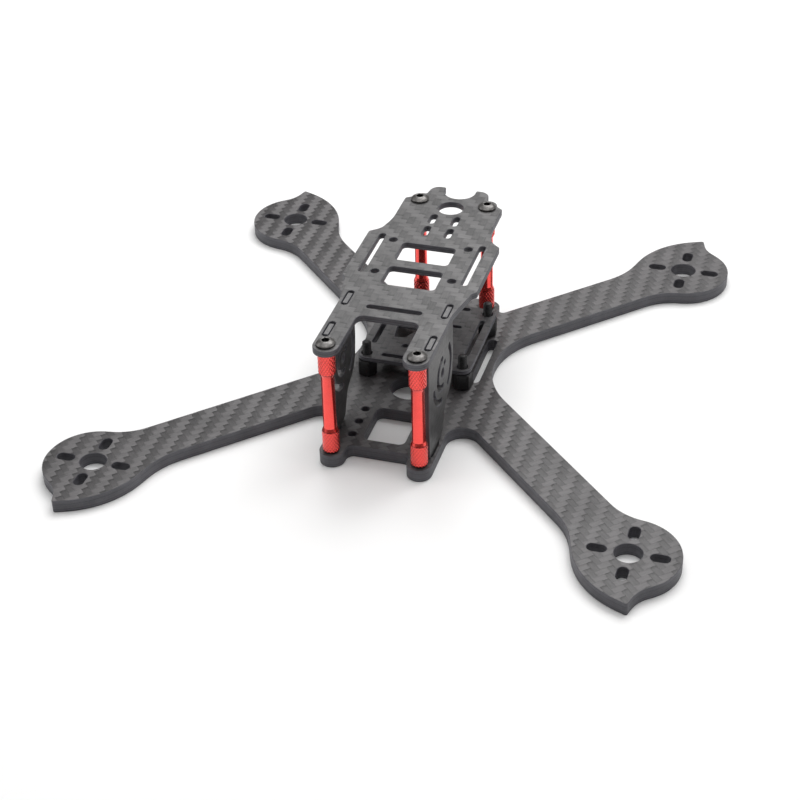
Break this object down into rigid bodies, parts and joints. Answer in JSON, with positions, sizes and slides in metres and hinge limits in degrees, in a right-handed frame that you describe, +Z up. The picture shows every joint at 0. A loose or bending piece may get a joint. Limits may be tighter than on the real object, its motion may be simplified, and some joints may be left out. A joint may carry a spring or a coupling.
{
  "type": "racing drone frame",
  "caption": "Bare X-shaped racing drone frame: a thick carbon base with four arms, a top plate on knurled red posts, camera side plates and a small stack plate.",
  "frame": {"origin": "the point of the resting surface below the centre of the four motor mounts", "axes": "-Y is the drone's front, +X its right, +Z up"},
  "size_m": [0.1874, 0.1898, 0.0428],
  "materials": {
    "carbon_plate": "satin carbon fibre laminate",
    "stack_carbon": "matt dark laminate",
    "red_anodised_aluminium": "red anodised, knurled ends",
    "black_oxide_steel": "black oxide",
    "black_nylon": "moulded nylon"
  },
  "bodies": {
    "root": {"base_plate": "carbon_plate", "top_plate": "carbon_plate", "camera_plate_left": "carbon_plate", "camera_plate_right": "carbon_plate", "stack_plate": "stack_carbon", "standoff_front_left": "red_anodised_aluminium", "top_screw_front_left": "black_oxide_steel", "base_screw_front_left": "black_oxide_steel", "stack_screw_front_left": "black_oxide_steel", "stack_spacer_front_left": "black_nylon", "standoff_front_right": "red_anodised_aluminium", "top_screw_front_right": "black_oxide_steel", "base_screw_front_right": "black_oxide_steel", "stack_screw_front_right": "black_oxide_steel", "stack_spacer_front_right": "black_nylon", "standoff_rear_left": "red_anodised_aluminium", "top_screw_rear_left": "black_oxide_steel", "base_screw_rear_left": "black_oxide_steel", "stack_screw_rear_left": "black_oxide_steel", "stack_spacer_rear_left": "black_nylon", "standoff_rear_right": "red_anodised_aluminium", "top_screw_rear_right": "black_oxide_steel", "base_screw_rear_right": "black_oxide_steel", "stack_screw_rear_right": "black_oxide_steel", "stack_spacer_rear_right": "black_nylon"}
  },
  "joints": []
}
